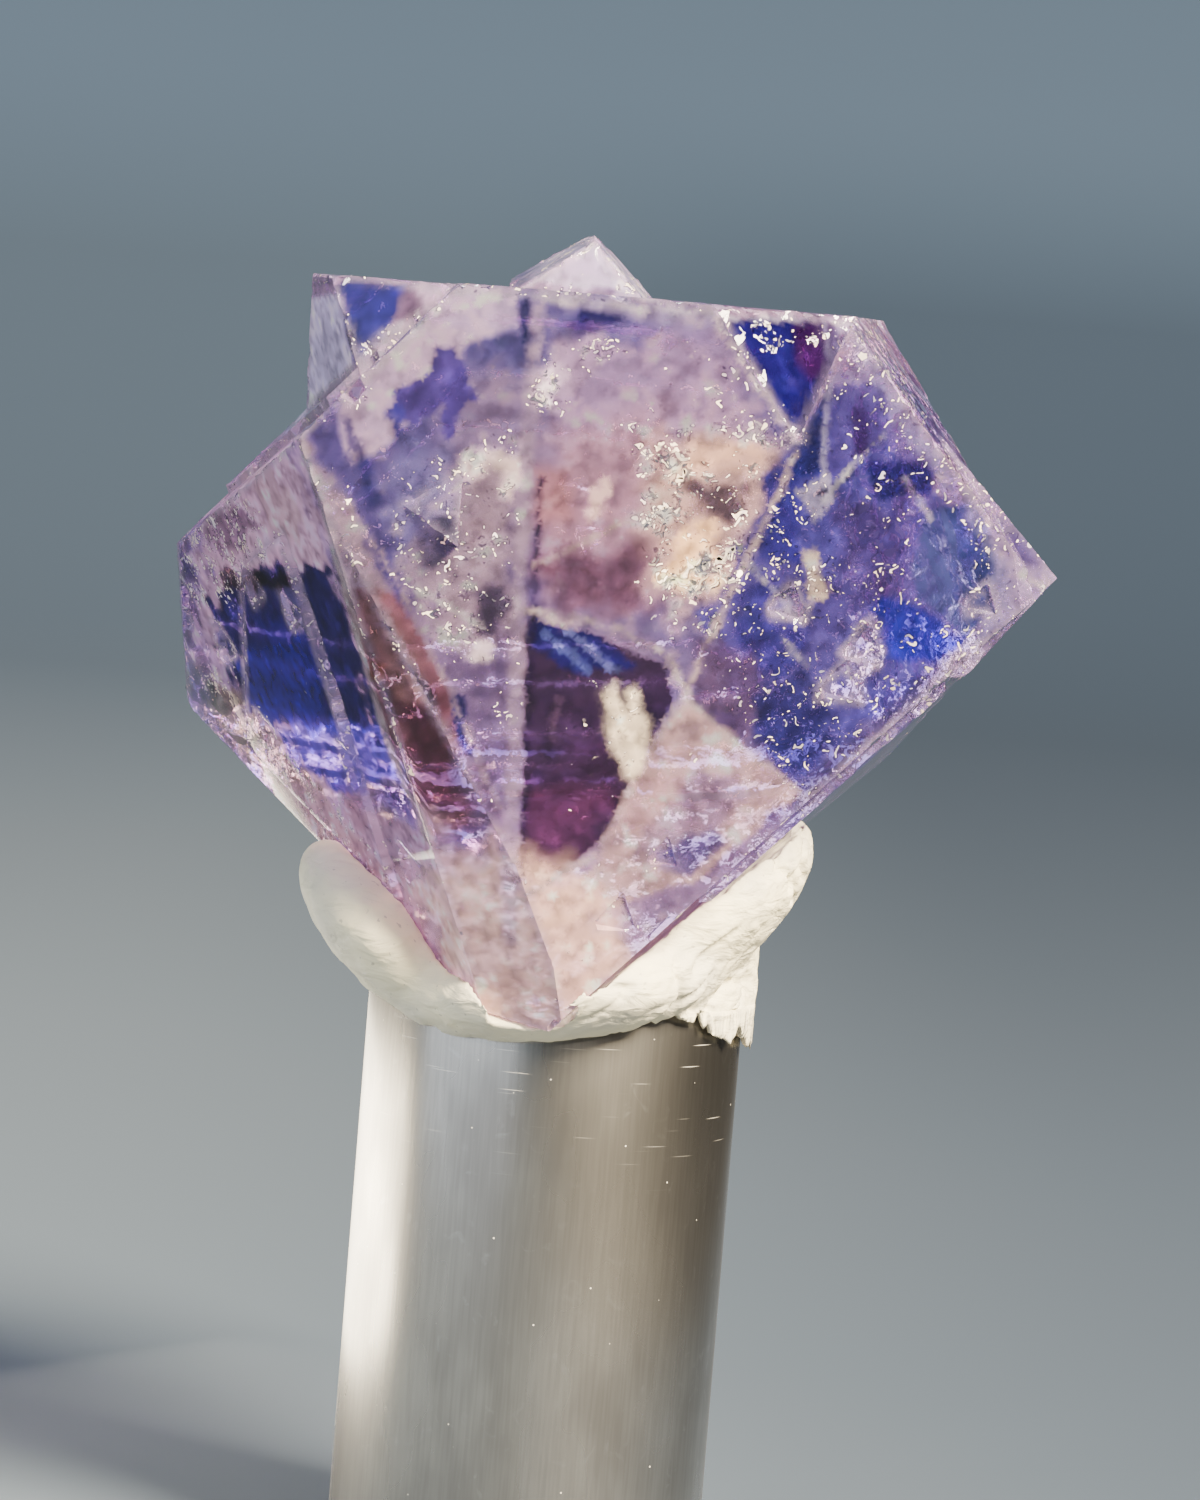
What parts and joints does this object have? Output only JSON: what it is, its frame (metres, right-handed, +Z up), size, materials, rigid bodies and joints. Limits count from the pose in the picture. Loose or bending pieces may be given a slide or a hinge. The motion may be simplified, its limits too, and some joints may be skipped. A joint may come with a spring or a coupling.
{
  "type": "fluorite octahedron on a post",
  "caption": "Violet octahedral fluorite crystal with smaller parallel-grown corners, seated point-down in off-white putty on the end of a round steel post.",
  "frame": {"origin": "centre of the post's flat foot", "axes": "+Z up along the post, -Y towards the crystal's front as the picture shows it, +X to that view's right"},
  "size_m": [0.0236, 0.0195, 0.0359],
  "materials": {
    "fluorite": "clear violet crystal, glossy flat faces with frosted worn edges",
    "putty": "soft off-white mounting putty, matte and wrinkled",
    "post_steel": "satin grey steel with faint smudges and scratches"
  },
  "bodies": {
    "root": {"fluorite_crystal": "fluorite", "mounting_putty": "putty", "steel_post": "post_steel"}
  },
  "joints": []
}
